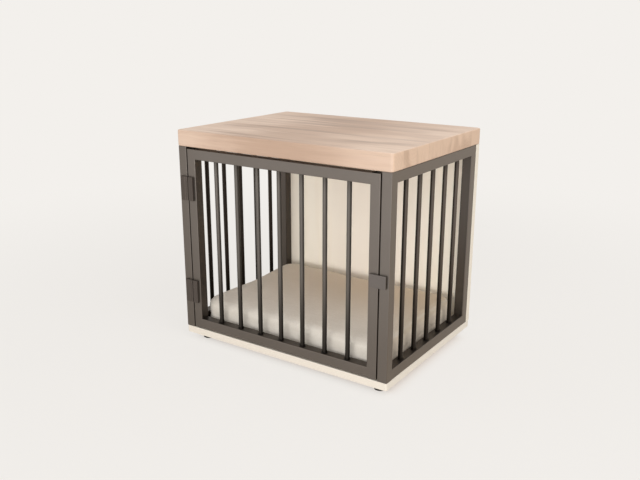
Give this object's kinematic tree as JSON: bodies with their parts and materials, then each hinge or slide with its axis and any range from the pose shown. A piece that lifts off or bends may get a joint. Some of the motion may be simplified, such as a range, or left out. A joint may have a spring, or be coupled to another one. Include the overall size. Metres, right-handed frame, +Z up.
{
  "type": "dog crate end table",
  "caption": "Barred steel dog crate that serves as an end table: hinged barred door, solid wood top, plywood base on feet, closed back panel and a floor cushion.",
  "frame": {"origin": "on the floor, under the middle of the whole table, hinges and latch included", "axes": "+X to the right as one faces the door, +Y to the back, +Z up"},
  "size_m": [0.604, 0.456, 0.5539],
  "materials": {
    "black_steel": "satin powder coat with a fine texture, warm black-brown",
    "hinge_steel": "satin powder coat, a little darker than the frame",
    "tab_steel": "satin grey coated steel",
    "zinc": "bright zinc plating",
    "magnet_nickel": "bright nickel plating",
    "wood_top": "matt oiled staves of walnut with pale sapwood, grain along the width",
    "birch_plywood": "matt birch plywood with its plies showing at the edges",
    "cream_board": "matt cream-stained board",
    "foot_rubber": "matt black moulded rubber",
    "pad_fabric": "matt woven fabric, greige"
  },
  "bodies": {
    "crate": {"left_front_post": "black_steel", "left_rear_post": "black_steel", "left_top_rail": "black_steel", "left_bottom_rail": "black_steel", "left_bar_1": "black_steel", "left_bar_2": "black_steel", "left_bar_3": "black_steel", "left_bar_4": "black_steel", "left_bar_5": "black_steel", "right_front_post": "black_steel", "right_rear_post": "black_steel", "right_top_rail": "black_steel", "right_bottom_rail": "black_steel", "right_bar_1": "black_steel", "right_bar_2": "black_steel", "right_bar_3": "black_steel", "right_bar_4": "black_steel", "right_bar_5": "black_steel", "wood_top": "wood_top", "plywood_base": "birch_plywood", "back_panel": "cream_board", "top_screw_left_front": "zinc", "base_screw_left_front": "zinc", "top_screw_left_rear": "zinc", "base_screw_left_rear": "zinc", "panel_screw_left_lower": "zinc", "panel_screw_left_upper": "zinc", "foot_front_left": "foot_rubber", "foot_rear_left": "foot_rubber", "top_screw_right_front": "zinc", "base_screw_right_front": "zinc", "top_screw_right_rear": "zinc", "base_screw_right_rear": "zinc", "panel_screw_right_lower": "zinc", "panel_screw_right_upper": "zinc", "foot_front_right": "foot_rubber", "foot_rear_right": "foot_rubber", "hinge_lower_post_leaf": "hinge_steel", "hinge_lower_pin": "hinge_steel", "hinge_upper_post_leaf": "hinge_steel", "hinge_upper_pin": "hinge_steel", "cushion": "pad_fabric"},
    "door": {"door_hinge_stile": "black_steel", "door_latch_stile": "black_steel", "door_top_rail": "black_steel", "door_bottom_rail": "black_steel", "door_bar_1": "black_steel", "door_bar_2": "black_steel", "door_bar_3": "black_steel", "door_bar_4": "black_steel", "door_bar_5": "black_steel", "door_bar_6": "black_steel", "door_bar_7": "black_steel", "hinge_lower_door_leaf": "hinge_steel", "hinge_upper_door_leaf": "hinge_steel", "latch_washer": "zinc"},
    "latch": {"latch_tab": "tab_steel", "latch_pivot_bolt": "zinc", "latch_nut": "zinc", "latch_magnet": "magnet_nickel"}
  },
  "joints": [
    {"name": "door_swing", "type": "hinge", "parent": "crate", "child": "door", "pos_m": [-0.27375, -0.225, 0.27485], "axis": [0, 0, -1], "range_deg": [0, 120]},
    {"name": "latch_turn", "type": "hinge", "parent": "door", "child": "latch", "pos_m": [0.26, -0.222, 0.27485], "axis": [0, -1, 0], "range_deg": [0, 90]}
  ]
}
